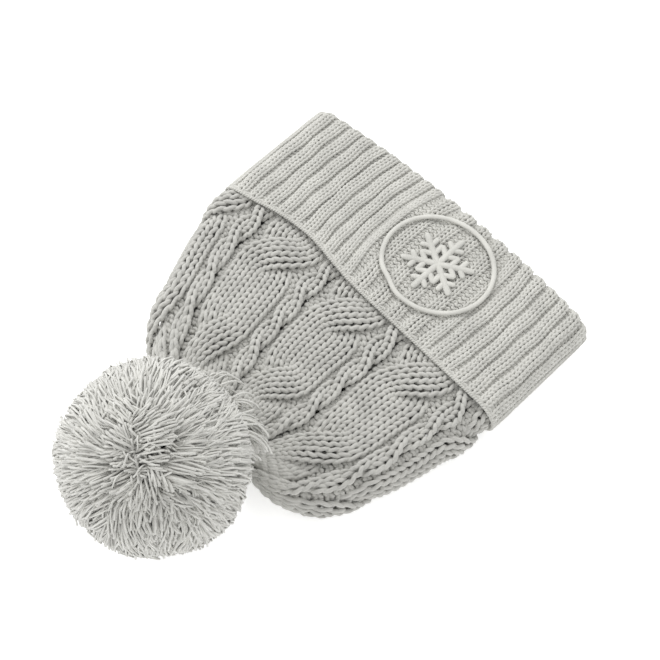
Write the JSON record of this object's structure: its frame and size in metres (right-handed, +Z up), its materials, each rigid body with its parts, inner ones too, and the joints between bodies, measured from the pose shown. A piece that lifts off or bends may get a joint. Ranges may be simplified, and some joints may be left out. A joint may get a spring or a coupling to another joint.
{
  "type": "pom pom beanie",
  "caption": "Chunky cable-knit beanie with a turned-up rib cuff, a round raised emblem on the cuff and a yarn pom-pom tied to the crown, lying flat.",
  "frame": {"origin": "under the middle of the whole object, on the surface that it lies on", "axes": "+Y from the crown and pom-pom to the mouth, +X across the flattened width, +Z up from the surface"},
  "size_m": [0.228, 0.3056, 0.108],
  "materials": {
    "cable_knit": "matt, soft and slightly fuzzy cable-knitted acrylic yarn",
    "rib_knit": "matt rib-knitted acrylic yarn",
    "pompom_yarn": "matt cut strands of the same yarn, opened at the tips",
    "tie_yarn": "matt twisted yarn",
    "embroidery_thread": "satin-stitched thread with a soft sheen",
    "backing_felt": "matt non-woven backing",
    "label_satin": "smooth woven satin ribbon with no print",
    "label_thread": "fine sewing thread"
  },
  "bodies": {
    "hat": {"crown_body": "cable_knit", "inner_band": "rib_knit", "turn_up_cuff": "rib_knit", "crown_gather": "tie_yarn", "back_seam": "rib_knit", "emblem_ring": "embroidery_thread", "emblem_snowflake": "embroidery_thread", "emblem_backing": "backing_felt", "care_label": "label_satin", "label_stitches": "label_thread"},
    "knot": {"anchor_knot": "tie_yarn"},
    "tie": {"tie_neck": "tie_yarn"},
    "pompom": {"pompom_yarn": "pompom_yarn", "pompom_binding": "tie_yarn"}
  },
  "joints": [
    {"name": "pompom_swing", "type": "hinge", "parent": "hat", "child": "knot", "pos_m": [0.006, -0.05225, 0.0115], "axis": [0, 0, 1], "range_deg": [-20, 20]},
    {"name": "pompom_lift", "type": "hinge", "parent": "knot", "child": "tie", "pos_m": [0.006, -0.05225, 0.0115], "axis": [-1, 0, 0], "range_deg": [0, 30]},
    {"name": "pompom_twist", "type": "hinge", "parent": "tie", "child": "pompom", "pos_m": [0.006, -0.05225, 0.0115], "axis": [0, -0.7382, 0.6746], "range_deg": [-90, 90]}
  ]
}
